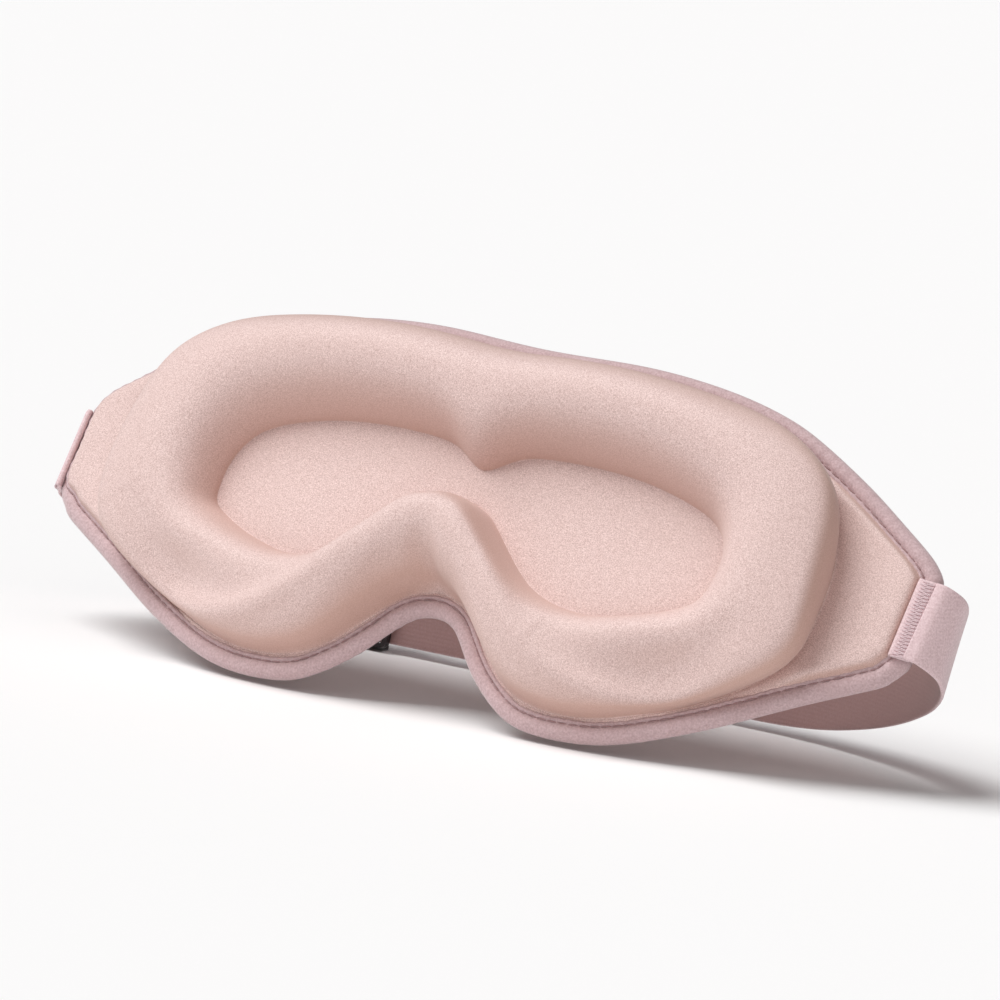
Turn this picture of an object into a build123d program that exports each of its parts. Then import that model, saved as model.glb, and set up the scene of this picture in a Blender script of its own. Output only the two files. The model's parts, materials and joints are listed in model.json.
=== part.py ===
from build123d import *
import os
from math import atan2, cos, degrees, exp, hypot, pi, radians, sin

# Sleep eye mask, millimetres.
# Mask frame: x across the face, y up to the forehead, z towards the wearer's face.
# The finished model stands on its two cheek lobes and leans back on its strap.

# ---- driving dimensions -------------------------------------------------------------------
HALF_LENGTH = 120.0          # middle of the mask to the edge of a wing
BOW_RADIUS = 600.0           # the whole laminate is bowed away from the face
BOW_TOP = 11.5               # height of the laminate's middle plane at the nose
LEAN = 30.0                  # degrees between the mask and the vertical, as it stands

FABRIC = 0.5                 # outer cloth
SKIN = 0.6                   # face cloth
PANEL_LOW = -2.5             # laminate layers, measured from the middle plane
PANEL_FOAM_TOP = 0.3
LINING_TOP = 0.6
WING_TOP = 2.5
BINDING = 0.8                # thickness of the tape
BINDING_WIDTH = 5.5          # how far the tape reaches in from the edge
SEAM_INSET = 4.5             # stitch row, measured from the edge
THREAD = 0.5

FLOOR_RISE = 2.5             # eye cavity's floor above the wing's surface
OUTER_WALL = 11.0            # width of the pad's rounded outer wall
INNER_WALL = 14.0            # width of the wall that runs down to the cavity floor

STRAP_WIDTH = 20.0
STRAP = 1.0                  # thickness of the elastic
GAP = 0.3                    # running clearance between moving pieces
TWIST = 18.0                 # degrees that the strap's back run turns towards the face
RUN_Y = -2.4                 # middle of the strap's back run
RUN_Z = -50.8
RUN_RIGHT = 46.0             # the back run is straight from here
RUN_LEFT = -88.0             # to here

RING_X = -81.0               # middle of the ring, along the back run
RING_LENGTH = 10.0
RING_BAR = 2.0
SLIDER_X = -61.0             # middle of the slider, along the back run
SLIDER_LENGTH = 13.0
SLIDER_BAR = 1.4
RAIL = 1.0                   # width of the ring's and the slider's side rails
RAIL_CLEARANCE = 0.4         # from a side rail to the elastic's edge
RAIL_SETBACK = 2.5           # the slider's deep side rails stop short of its ends
BAR_THICKNESS = 1.4
FRAME_CORNER = 1.6
WINDOW_CORNER = 0.6
RING_ROUND = 0.35
RAIL_ROUND = 0.6

LAYER_GAP = 0.05             # between two layers of elastic that are sewn together
JOIN = 4.0                   # from the ring's bar to the joint of the long elastic's two lengths
SEWN_START = 9.0             # sewn layers near the slider, measured from its middle bar
SEWN_END = 4.0
LOOP_START = 1.2
RING_LOOP_START = 2.0        # sewn layers near the ring, measured from its bar
RING_SEWN_START = 5.5
RING_SEWN_END = 12.0
RING_TACK = 9.0
SLIDER_TACK = 6.5

TAB_LENGTH = 5.0
TAB_LAYER = 1.1
TAB_OVERHANG = 0.4           # how far a sewn strap end passes the wing's edge
TAB_CLEARANCE = 0.15
TACK_STITCHES = 28
TACK_LENGTH = 3.6
TACK_THREAD = 0.45
TACK_SLANT = 5.0             # degrees

# Half outlines in the mask frame, from the top of the mask round to the nose.
EDGE = [(0, 43.5), (19, 44.2), (32, 44.5), (44, 44.0), (56, 42.7), (67.5, 40.4), (78.5, 36.5),
        (93, 29.5), (103, 23.8), (112, 18.4), (116.5, 15.2), (119.0, 12.4), (119.9, 9.5), (120, 5),
        (120, 0), (120, -5), (119.9, -9.0), (119.0, -12.0), (116.8, -15.2), (113, -18.2), (99, -26.1),
        (85, -34.4), (75, -39.8), (65.5, -44.2), (55, -47.8), (44, -49.3), (34, -48.9), (26.5, -46.3),
        (19, -41.2), (13.5, -36), (9, -31), (5, -27.8), (0, -26.7)]
PAD_FOOT = [(0, 37.5), (30, 38.4), (54, 36.8), (70, 33.2), (83, 27.0), (91, 19.0), (94.8, 8.0),
            (94.8, -5.0), (92, -17.0), (84, -27.0), (70, -35.6), (56, -41.0), (44, -42.8),
            (34, -42.0), (26, -38.0), (18, -31.5), (10, -24.0), (0, -20.0)]
CAVITY_RIM = [(0, 23.0), (8, 25.5), (22, 28.5), (42, 27.0), (60, 22.0), (74, 14.0), (79, 3.0),
              (77, -9.0), (68, -19.0), (52, -27.0), (36, -26.5), (24, -19.0), (12, -7.0), (0, -3.5)]

# The strap's side runs: x, y, z of the middle line and its twist, from the wing to the back run.
RIGHT_SIDE = [(120.9, 0.0, 4.3, 0), (123.6, -0.1, 1.6, 2), (124.6, -0.3, -4.0, 6), (122.0, -0.6, -12.0, 10),
              (114.0, -1.0, -22.5, 12), (104.0, -1.4, -31.0, 13), (92.5, -1.8, -38.3, 15),
              (80.0, -2.1, -44.3, 16), (68.0, -2.3, -48.4, 17), (56.0, -2.4, -50.4, 18)]
LEFT_SIDE = [(-120.9, 0.0, 4.3, 0), (-123.6, -0.1, 1.6, 2), (-124.6, -0.3, -4.0, 6), (-122.6, -0.6, -13.0, 10),
             (-117.5, -1.2, -24.0, 12), (-110.5, -1.7, -34.0, 14), (-103.0, -2.0, -42.5, 16),
             (-96.0, -2.3, -48.6, 18)]


# ---- the bowed laminate --------------------------------------------------------------------
def bow(x):
    """Height of the laminate's middle plane."""
    return BOW_TOP - BOW_RADIUS + (BOW_RADIUS**2 - x**2) ** 0.5


def both_halves(half):
    """A half outline and its mirror image as one closed ring of points, clockwise."""
    mirrored = [(-x, y) for x, y in reversed(half) if x > 0]
    return half + mirrored


def inset_ring(ring, inset):
    """The ring moved inwards, without the points that would fall too near the edge."""
    moved = []
    for i, (x, y) in enumerate(ring):
        bx, by = ring[i - 1]
        ax, ay = ring[(i + 1) % len(ring)]
        length = hypot(ax - bx, ay - by)
        point = (x + inset * (ay - by) / length, y - inset * (ax - bx) / length)
        if inside_distance(point, ring) > 0.93 * inset - 0.1:
            moved.append(point)
    return moved


def column(inset):
    """A tall column on the outline, moved in from the edge."""
    ring = both_halves(EDGE)
    if inset:
        ring = inset_ring(ring, inset)
    right = ring.index((HALF_LENGTH - inset, 0))
    left = ring.index((inset - HALF_LENGTH, 0))
    bottom = Spline(*ring[right:left + 1], tangents=[(0, -1), (0, 1)])
    top = Spline(*ring[left:], *ring[:right + 1], tangents=[(0, 1), (0, -1)])
    return Pos(0, 0, -30) * extrude(make_face([bottom, top]), amount=100)


def slab(low, high):
    """The bowed layer between two heights above the middle plane."""
    reach = HALF_LENGTH + 10
    centre = BOW_TOP - BOW_RADIUS
    angle = degrees(atan2(reach, BOW_RADIUS))
    outer = CenterArc((0, centre), BOW_RADIUS + high, 90 - angle, 2 * angle)
    inner = CenterArc((0, centre), BOW_RADIUS + low, 90 - angle, 2 * angle)
    sides = [Line(outer @ 0, inner @ 0), Line(outer @ 1, inner @ 1)]
    profile = make_face([outer, inner, *sides])
    return Plane.XZ * (Pos(0, 0, -60) * extrude(profile, amount=120))


def layer(low, high):
    """One sheet of the laminate."""
    return column(BINDING) & slab(low, high)


# ---- the moulded pad -----------------------------------------------------------------------
def inside_distance(point, ring):
    """Distance from a point to a closed ring of points, negative outside it."""
    px, py = point
    inside = False
    nearest = 1e9
    for (ax, ay), (bx, by) in zip(ring, ring[1:] + ring[:1]):
        along = ((px - ax) * (bx - ax) + (py - ay) * (by - ay)) / ((bx - ax) ** 2 + (by - ay) ** 2)
        along = min(1.0, max(0.0, along))
        nearest = min(nearest, hypot(px - ax - along * (bx - ax), py - ay - along * (by - ay)))
        if (ay > py) != (by > py) and px < ax + (py - ay) * (bx - ax) / (by - ay):
            inside = not inside
    return nearest if inside else -nearest


def round_step(t):
    """A quarter round that rises steeply from 0 and levels out at 1."""
    t = min(1.0, max(0.0, t))
    return sin(t * pi / 2) ** 1.2


def soft_step(t):
    """A smooth step from 0 to 1."""
    t = min(1.0, max(0.0, t))
    return t * t * (3 - 2 * t)


def crest_height(x, y):
    """Height of the pad's ridge above the wing: high at the forehead and on the nose."""
    slope = 15.5 + 3.0 * y / 40
    nose = 5.5 * exp(-((x / 13) ** 2) - ((y + 8) / 10) ** 2)
    return slope + nose


def face_height(x, y):
    """Height of the wearer's side of the mask."""
    crest = crest_height(x, y)
    wall = round_step(inside_distance((x, y), both_halves(PAD_FOOT)) / OUTER_WALL)
    dip = soft_step(inside_distance((x, y), both_halves(CAVITY_RIM)) / INNER_WALL)
    return bow(x) + WING_TOP + wall * crest - dip * (crest - FLOOR_RISE)


def under_face(drop):
    """Everything below the wearer's side, lowered by the given amount."""
    columns = 49
    rows = 23
    xs = [-128 + 256 * i / (columns - 1) for i in range(columns)]
    ys = [-56 + 108 * j / (rows - 1) for j in range(rows)]
    points = [[Vector(x, y, face_height(x, y) - drop) for y in ys] for x in xs]
    sheet = Face.make_surface_from_array_of_points(points, tol=0.5)
    return extrude(sheet, amount=-90, dir=(0, 0, 1))


def largest(shape):
    """The main solid, without slivers."""
    return shape.solids().sort_by(SortBy.VOLUME)[-1]


def make_contour_foam():
    room = column(BINDING) - slab(-40, LINING_TOP)
    return largest(room & under_face(SKIN))


def make_face_fabric():
    room = column(BINDING) - slab(-40, LINING_TOP)
    return largest((room & under_face(0)) - under_face(SKIN))


# ---- the edge ------------------------------------------------------------------------------
def make_edge_binding():
    tape = column(0) & slab(PANEL_LOW - BINDING, WING_TOP + BINDING)
    laminate = column(BINDING) & slab(PANEL_LOW, WING_TOP)
    return tape - laminate - column(BINDING_WIDTH)


def make_binding_stitches():
    row = column(SEAM_INSET) - column(SEAM_INSET + THREAD)
    return row & slab(WING_TOP + BINDING, WING_TOP + BINDING + THREAD)


def on_wing(side, height):
    """The place of a sewn strap end: on the wing's slope, at a height above the tape."""
    x = side * (HALF_LENGTH + TAB_OVERHANG - TAB_LENGTH / 2)
    z = bow(x) + WING_TOP + BINDING + THREAD + TAB_CLEARANCE
    slope = degrees(atan2(x, BOW_RADIUS))
    return Pos(x, 0, z) * Rot(0, slope, 0) * Pos(0, 0, height)


def make_strap_tab(side):
    """The folded strap end on the wing: two layers of elastic."""
    return on_wing(side, TAB_LAYER) * Box(TAB_LENGTH, STRAP_WIDTH, 2 * TAB_LAYER)


def make_bartack(length, width, thread):
    """A row of zigzag stitches, lying in the XY plane."""
    pitch = width / TACK_STITCHES
    stitches = []
    for i in range(TACK_STITCHES):
        y = -width / 2 + (i + 0.5) * pitch
        slant = TACK_SLANT if i % 2 else -TACK_SLANT
        stitches.append(Pos(0, y, thread / 2) * Rot(0, 0, slant) * Box(length, thread, thread))
    return Compound(children=stitches)


def make_side_bartack(side):
    return on_wing(side, 2 * TAB_LAYER + LAYER_GAP) * make_bartack(TACK_LENGTH, STRAP_WIDTH - 1, TACK_THREAD)


# ---- the strap -----------------------------------------------------------------------------
# On the back run, pieces are drawn in the strap's own plane: x along the run, y across the
# elastic, z towards the mask, with 0 in the middle of the elastic.
RUN = Plane(
    origin=(0, RUN_Y, RUN_Z),
    x_dir=(1, 0, 0),
    z_dir=(0, -sin(radians(TWIST)), cos(radians(TWIST))),
)


def ribbon(stations):
    """A twisting length of elastic through the given stations."""
    sections = []
    last = len(stations) - 1
    for i, (x, y, z, twist) in enumerate(stations):
        before = stations[max(0, i - 1)]
        after = stations[min(last, i + 1)]
        along = Vector(after[0] - before[0], after[1] - before[1], after[2] - before[2])
        if i == 0:
            along = Vector(1 if x > 0 else -1, 0, -0.25)
        if i == last:
            along = Vector(-1 if x > 0 else 1, 0, 0)
        across = Vector(0, cos(radians(twist)), sin(radians(twist)))
        sections.append(Plane(origin=(x, y, z), x_dir=across, z_dir=along) * Rectangle(STRAP_WIDTH, STRAP))
    return loft(sections)


def fold(path, width=STRAP_WIDTH, thickness=STRAP):
    """A folded length of elastic on the back run, from its path in x and z."""
    left, right = [], []
    for i, (x, z) in enumerate(path):
        ax, az = path[max(0, i - 1)]
        bx, bz = path[min(len(path) - 1, i + 1)]
        length = hypot(bx - ax, bz - az)
        nx, nz = -(bz - az) / length, (bx - ax) / length
        left.append((x + nx * thickness / 2, z + nz * thickness / 2))
        right.append((x - nx * thickness / 2, z - nz * thickness / 2))
    outline = make_face(Polyline(*left, *reversed(right), close=True))
    strip = Plane.XZ * (Pos(0, 0, -width / 2) * extrude(outline, amount=width))
    return RUN * strip


def turn(x, z, radius, start, end, steps=8):
    """Points of a fold's round, in degrees from +x towards +z."""
    angles = [radians(start + (end - start) * i / steps) for i in range(steps + 1)]
    return [(x + radius * cos(a), z + radius * sin(a)) for a in angles]


LAYER_DROP = 2 * GAP + BAR_THICKNESS + STRAP      # one side of a bar to the other, layer to layer


def make_strap():
    """The long elastic, from the right wing to its fold round the ring."""
    stations = RIGHT_SIDE + [(RUN_RIGHT, RUN_Y, RUN_Z, TWIST)]
    bar = RING_X + RING_LENGTH / 2 - RING_BAR
    path = [(RUN_RIGHT, 0), (bar + JOIN, 0)]
    path += turn(bar - GAP, -LAYER_DROP / 2, LAYER_DROP / 2, 90, 270)
    path += [(bar + JOIN, -LAYER_DROP)]
    return ribbon(stations) + fold(path)


def make_strap_return():
    """The doubled layer: from the ring to a sewn fold round the slider's middle bar."""
    start = RING_X + RING_LENGTH / 2 - RING_BAR + JOIN
    bar = SLIDER_X
    front = -(STRAP + GAP)
    back = front - LAYER_DROP
    sewn = front - STRAP - LAYER_GAP
    path = [(start, -LAYER_DROP), (bar - SEWN_START, sewn), (bar - SEWN_END, sewn)]
    path += [(bar - LOOP_START, back), (bar, back)]
    path += turn(bar + SLIDER_BAR / 2 + GAP, (front + back) / 2, LAYER_DROP / 2, -90, 90)
    path += [(bar, front), (bar - SEWN_START, front)]
    return fold(path)


def make_short_strap():
    """The short elastic, from the left wing to its sewn fold round the ring."""
    stations = LEFT_SIDE + [(RUN_LEFT, RUN_Y, RUN_Z, TWIST)]
    bar = RING_X - RING_LENGTH / 2 + RING_BAR
    sewn = -(STRAP + LAYER_GAP)
    path = [(RUN_LEFT, 0), (bar - RING_LOOP_START, 0)]
    path += turn(bar + GAP, -LAYER_DROP / 2, LAYER_DROP / 2, 90, -90)
    path += [(bar - RING_LOOP_START, -LAYER_DROP)]
    path += [(bar - RING_SEWN_START, sewn), (bar - RING_SEWN_END, sewn)]
    return ribbon(stations) + fold(path)


def make_frame(length, bar_width, thickness):
    """A rectangular plastic frame round the elastic, with rounded corners."""
    window_width = STRAP_WIDTH + 2 * RAIL_CLEARANCE
    outline = RectangleRounded(length, window_width + 2 * RAIL, FRAME_CORNER)
    window = RectangleRounded(length - 2 * bar_width, window_width, WINDOW_CORNER)
    return extrude(outline - window, amount=thickness)


def make_ring():
    low = -(STRAP / 2 + GAP + BAR_THICKNESS)
    frame = Pos(RING_X, 0, low) * make_frame(RING_LENGTH, RING_BAR, BAR_THICKNESS)
    return RUN * fillet(frame.edges().filter_by(Axis.Y), RING_ROUND)


def make_slider():
    """Two outer bars on the mask's side of the elastic and a middle bar behind it."""
    inner_low = STRAP / 2 + GAP
    bars = Pos(SLIDER_X, 0, inner_low) * make_frame(SLIDER_LENGTH, SLIDER_BAR, BAR_THICKNESS)
    front = -(STRAP + GAP)
    back_bar = front - LAYER_DROP / 2
    rail_x = SLIDER_LENGTH - 2 * RAIL_SETBACK
    rail_y = STRAP_WIDTH / 2 + RAIL_CLEARANCE + RAIL / 2
    top = inner_low + BAR_THICKNESS
    bottom = back_bar - BAR_THICKNESS / 2
    middle_bar = Pos(SLIDER_X, 0, back_bar) * Box(SLIDER_BAR, 2 * rail_y, BAR_THICKNESS)
    body = bars + middle_bar
    for side in (-1, 1):
        rail = Pos(SLIDER_X, side * rail_y, (top + bottom) / 2) * Box(rail_x, RAIL, top - bottom)
        body += fillet(rail.edges().filter_by(Axis.Y), RAIL_ROUND)
    return RUN * body


def make_run_bartack(x, z):
    """Zigzag stitches on the outward side of the back run."""
    row = make_bartack(TACK_LENGTH, STRAP_WIDTH - 1, TACK_THREAD)
    return RUN * (Pos(x, 0, z - TACK_THREAD) * row)


# ---- standing the mask up and writing it ---------------------------------------------------
def build_parts():
    sewn_slider = -(STRAP + GAP) - STRAP - LAYER_GAP - STRAP / 2
    sewn_ring = -(STRAP + LAYER_GAP) - STRAP / 2
    ring_bar = RING_X - RING_LENGTH / 2 + RING_BAR
    return {
        "outer_fabric": layer(PANEL_LOW, PANEL_LOW + FABRIC),
        "outer_foam": layer(PANEL_LOW + FABRIC, PANEL_FOAM_TOP),
        "blackout_lining": layer(PANEL_FOAM_TOP, LINING_TOP),
        "contour_foam": make_contour_foam(),
        "face_fabric": make_face_fabric(),
        "edge_binding": make_edge_binding(),
        "binding_stitches": make_binding_stitches(),
        "strap_tab_left": make_strap_tab(-1),
        "strap_tab_right": make_strap_tab(1),
        "bartack_left": make_side_bartack(-1),
        "bartack_right": make_side_bartack(1),
        "strap": make_strap(),
        "strap_return": make_strap_return(),
        "short_strap": make_short_strap(),
        "ring": make_ring(),
        "bartack_ring": make_run_bartack(ring_bar - RING_TACK, sewn_ring),
        "slider": make_slider(),
        "bartack_slider": make_run_bartack(SLIDER_X - SLIDER_TACK, sewn_slider),
    }


def reach(shape):
    """Lowest and highest corner of a shape, from its mesh."""
    points = shape.tessellate(0.1)[0]
    low = [min(getattr(p, axis) for p in points) for axis in "XYZ"]
    high = [max(getattr(p, axis) for p in points) for axis in "XYZ"]
    return low, high


def stand_up(parts):
    """Lean the mask back and put the middle of its base at the origin."""
    turned = {name: Rot(90 - LEAN, 0, 0) * shape for name, shape in parts.items()}
    boxes = [reach(shape) for shape in turned.values()]
    low = [min(box[0][i] for box in boxes) for i in range(3)]
    high = [max(box[1][i] for box in boxes) for i in range(3)]
    shift = Pos(-(low[0] + high[0]) / 2, -(low[1] + high[1]) / 2, -low[2])
    print("mask frame's origin is at", shift.position)
    return {name: shift * shape for name, shape in turned.items()}


os.makedirs("parts", exist_ok=True)
for name, shape in stand_up(build_parts()).items():
    export_step(shape, f"parts/{name}.step")
    (x0, y0, z0), (x1, y1, z1) = reach(shape)
    print(f"{name:18} x {x0:7.1f} {x1:7.1f}  y {y0:6.1f} {y1:6.1f}  z {z0:5.2f} {z1:5.1f}")
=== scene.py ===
import json
import math
import bpy
import numpy as np
from mathutils import Matrix, Vector


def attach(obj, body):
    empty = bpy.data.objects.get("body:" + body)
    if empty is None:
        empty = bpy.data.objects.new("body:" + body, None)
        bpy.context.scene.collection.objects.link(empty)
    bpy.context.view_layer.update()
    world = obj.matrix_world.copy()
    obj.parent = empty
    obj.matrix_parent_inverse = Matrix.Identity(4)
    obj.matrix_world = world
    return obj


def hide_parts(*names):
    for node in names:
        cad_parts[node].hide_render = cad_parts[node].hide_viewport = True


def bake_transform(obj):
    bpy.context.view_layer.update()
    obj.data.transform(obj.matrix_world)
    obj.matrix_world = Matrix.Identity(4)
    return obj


# Sleep eye mask. Shapes are drawn in millimetres in the mask's own frame: u across the face,
# v up to the forehead, n towards the wearer's face. place() turns them into the model's frame.
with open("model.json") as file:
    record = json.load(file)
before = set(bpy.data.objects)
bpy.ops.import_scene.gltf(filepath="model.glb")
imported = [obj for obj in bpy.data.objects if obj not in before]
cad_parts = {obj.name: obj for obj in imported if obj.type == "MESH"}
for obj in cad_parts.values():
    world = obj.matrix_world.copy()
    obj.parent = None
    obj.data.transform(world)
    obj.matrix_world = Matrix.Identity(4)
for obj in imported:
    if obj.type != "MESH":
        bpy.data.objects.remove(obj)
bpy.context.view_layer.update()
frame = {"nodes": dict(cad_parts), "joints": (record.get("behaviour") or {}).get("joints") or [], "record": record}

MM = 0.001
STAND_ANGLE = math.radians(60)        # the mask leans back 30 degrees from the vertical
SWING = next(j for j in frame["joints"] if j["name"] == "strap_swing")
ORIGIN = np.array(SWING["pos_m"])     # the mask frame's origin is on the strap's swing axis

# ---- the laminate ------------------------------------------------------------------------
BOW_RADIUS = 600.0
BOW_TOP = 11.5
HALF_LENGTH = 120.0
EDGE_SAMPLES = 720
TAPE_WIDTH = 4.9                      # how far the tape reaches in from the edge
SEAM_INSET = 3.7                      # the stitch row, measured from the edge
SEAM_RISE = 1.35                      # the pinched laminate's height at the seam
SWELL = 2.6                           # how far the wing's foam swells above the seam
TILT = 50.0                           # how far the left wing's bound edge is pulled back, degrees
TILT_REACH = 2.8                      # and how much longer that leaves the wing in front of it
FACE_REACH = TILT_REACH + 1.0         # the same for the pad's own cloth
LAYER_CUT = 6.0                       # how much shorter the hidden layers are at that end
UNDER_TAPE = 3.2                      # where the pad's cloth starts, measured from the edge
FOAM_DRAWN_IN = 0.4                   # share by which the foam's underside is drawn in there
LINING_RISE = 0.1
FLOOR_RISE = 5.2                      # the eye cavity's floor above the middle plane
WING_RISE = 2.5
FACE_CLOTH = 0.55                     # thickness of the wearer's side
FOAM_DEPTH = 0.8                      # where the moulded foam starts beneath it
OUTER_CLOTH = 0.5

# Half outline of the edge, from the top of the mask round to the nose: u, v.
EDGE = [(0, 43.5), (19, 44.2), (32, 44.5), (44, 44.0), (56, 42.7), (67.5, 40.4), (78.5, 36.5),
        (93, 29.5), (103, 23.8), (112, 18.4), (116.5, 15.2), (119.0, 12.4), (119.9, 9.5), (120, 5),
        (120, 0), (120, -5), (119.9, -9.0), (119.0, -12.0), (116.8, -15.2), (113, -18.2), (99, -26.1),
        (85, -34.4), (75, -39.8), (65.5, -44.2), (55, -47.8), (44, -49.3), (34, -48.9), (26.5, -46.3),
        (19, -41.2), (13.5, -36), (9, -31), (5, -27.8), (0, -26.7)]

# The moulded pad, one row for each spoke from the top of the mask round to the nose:
# edge (u, v), foot of the outer wall (u, v), knee (u, v, height), crest (u, v, height), rim of
# the cavity's floor (u, v), and how much of a shelf the slope between knee and crest has.
# Heights are above the middle plane.
SPOKES = [
    ((0, 43.5), (0, 37.6), (0, 38.2, 11), (0, 27.5, 20.2), (0, 9.5), 0),
    ((5, 43.6), (5, 37.7), (5, 38.3, 11), (5, 27.6, 20.4), (4.2, 11.2), 0),
    ((10, 43.8), (10, 37.8), (10, 38.6, 11), (10, 28.0, 20.6), (8.2, 13.6), 0),
    ((18, 44.2), (18, 38.2), (18, 39.0, 11.5), (18, 28.5, 21.0), (15, 15.3), 0),
    ((32, 44.5), (32, 38.5), (32, 39.4, 11.5), (32, 29.0, 21.3), (28, 15.9), 0),
    ((48, 43.7), (48, 37.8), (48.3, 38.7, 11.5), (47, 28.3, 21.3), (42, 15.2), 0),
    ((64, 41.2), (62.5, 35.2), (64, 37.2, 11.2), (60.5, 26, 20.8), (54, 13), 0),
    ((80, 35.8), (76.5, 29.5), (79.4, 32.8, 13.6), (72, 21.5, 20.2), (63, 9.8), 0),
    ((100, 25.5), (88, 20), (93, 23.2, 15), (79.5, 14.5, 19.7), (68, 5), 0),
    ((119.9, 8), (94, 8), (98, 9, 15.8), (83, 5, 19.2), (70, -0.5), 0),
    ((119.9, -8), (95, -5), (99.6, -5, 15.8), (83, -4.5, 18.3), (70.2, -4.5), 0.1),
    ((104, -23.3), (93.4, -16.5), (98.6, -17.8, 14), (79.5, -14, 17), (69.3, -9.5), 0.2),
    ((90, -31.6), (85, -25.4), (89, -27.4, 11.5), (73.5, -20, 15.6), (65, -12.8), 0.6),
    ((75, -39.8), (72.5, -34.3), (72.2, -35.8, 7.0), (65, -22.8, 15), (58, -16), 0.9),
    ((58, -46.9), (56.5, -41.3), (56.3, -41.2, 8), (56, -25, 14.7), (50.5, -18.3), 0.5),
    ((42, -49.4), (42.5, -43.6), (42, -42.8, 8.5), (45, -27.5, 14.7), (42.5, -19.7), 0.1),
    ((28, -47.2), (30.6, -41.8), (30.5, -40.6, 9), (33, -26, 15.3), (32, -18.8), 0),
    ((19, -41.2), (22.9, -37), (23, -35.8, 9.5), (23.5, -20, 17.2), (23, -15), 0),
    ((12.5, -35), (16.8, -31), (17, -29.8, 10), (15, -12.5, 19.2), (14.5, -8), 0),
    ((6, -28.4), (9.4, -24), (10, -23.4, 10.5), (8.3, -7.3, 20.5), (8, -2.2), 0),
    ((3, -27.1), (4.2, -21.7), (5, -20.3, 10.8), (4, -5.8, 20.6), (4, 0), 0),
    ((0, -26.7), (0, -20.9), (0, -18.6, 7.6), (0, -5.3, 20.6), (0, 1.0), 0),
]

# On each cheek lobe a lower roll runs from the nose along the tape, with a hollow above it.
LOWER_ROLL = [(17, -15), (24, -23), (33, -31.5), (45, -37.5), (58, -39), (70, -36)]
ROLL_HEIGHT = 1.4
ROLL_WIDTH = 2.9
HOLLOW = [(36, -29), (48, -33), (60, -32), (71, -28), (81, -22), (88, -13)]
HOLLOW_DEPTH = 1.8
HOLLOW_WIDTH = 4.5

# Rings of control points between the pad's main lines: the share of the way from one line to
# the next, the share of the climb and, where there is a third value, what a shelf takes off it.
UP_THE_WALL = (0.8, 0.42)
KNEE_TO_CREST = [(0.22, 0.55, 0.5), (0.6, 0.96, 0.36)]
CREST_TO_FLOOR = [(0.45, 0.12), (0.76, 0.44), (0.96, 0.85)]
# Over the cavity's floor: the share of the way to its middle line, and the height above it.
ACROSS_FLOOR = [(0, 0.1), (0, -0.2), (0.05, -0.1), (0.2, 0), (0.5, 0), (0.75, 0)]
FLOOR_MIDDLE = 54.0                   # half the length of that middle line
RING_STEPS = 4                        # rings of the mesh for each ring of control points
CREASE_RING = 24                      # the ring of the mesh at the foot of the pad

# The outer cloth at the seam: how far inside the edge, and how far out of the outer plane.
OUTER_SEAM = [(3.2, -1.45), (4.7, -1.3), (5.5, -0.6)]
# Over the outer side: the share of the way to its middle line, and how far out of the plane.
OUTER_CROWN = [(0.06, 0.2), (0.14, 0.8), (0.25, 1.15), (0.4, 1.3), (0.6, 1.35), (0.8, 1.35),
               (0.93, 1.35)]
OUTER_MIDDLE = 88.0                   # half the length of that middle line
LAYER_EDGE = [(3.3, 0.4), (8.0, 1.0)]         # a hidden layer's rim: inset, share of its height

# ---- the strap: u, v, n of its middle line and its twist in degrees -------------------------
STRAP_WIDTH = 20.0
STRAP = 1.0
TWIST = 18.0
RUN_V = -2.4
RUN_N = -50.8
RUN_RIGHT = 46.0
RUN_LEFT = -88.0
RIGHT_SIDE = [(119.9, 0.0, 2.8, 0), (122.5, -0.1, 1.6, 2), (124.5, -0.3, -4.0, 6),
              (122.0, -0.6, -12.0, 10), (114.0, -1.0, -22.5, 12), (104.0, -1.4, -31.0, 13),
              (92.5, -1.8, -38.3, 15), (80.0, -2.1, -44.3, 16), (68.0, -2.3, -48.4, 17),
              (56.0, -2.4, -50.4, 18)]
LEFT_SIDE = [(-122.9, 0.0, -2.2, 0), (-123.6, -0.1, -4.2, 3), (-123.4, -0.3, -7.0, 6),
             (-122.2, -0.6, -13.5, 10), (-117.5, -1.2, -24.0, 12), (-110.5, -1.7, -34.0, 14),
             (-103.0, -2.0, -42.5, 16), (-96.0, -2.3, -48.6, 18)]
SIDE_SAMPLES = 150                    # points along each of these two sides
RING_U = -81.0
RING_LENGTH = 10.0
RING_BAR = 2.0
SLIDER_U = -61.0
SLIDER_BAR = 1.4
BAR_THICKNESS = 1.4
GAP = 0.3                             # between the elastic and a bar
SEWN_GAP = 0.05                       # between two layers that are sewn together
LAYER_DROP = 2 * GAP + BAR_THICKNESS + STRAP          # between the layers that hold a bar
SLIDER_LAP = 9.0                      # how far the sewn fold reaches past the slider's bar
TAB_LENGTH = 5.0
TAB_LAYER = 0.85
TAB_OVERHANG = 0.4                    # how far a tab reaches past the bound edge
TAB_RISE = 2.05                       # its underside, above the middle plane
TAB_ROWS = 41
# The tab's long section, drawn 2.2 high: along the wing from the tab's middle, and up.
TAB_OUTLINE = [(2.8, 0.6), (2.5, 1.2), (1.8, 1.8), (0.9, 1.95), (0, 1.9), (-0.9, 1.95), (-1.7, 2.15),
               (-2.3, 1.9), (-2.6, 1.2), (-2.35, 0.5), (-1.8, 0.15), (0, 0.0), (2.7, 0.0)]
TAB_SCALE = 2 * TAB_LAYER / 2.2

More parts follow.
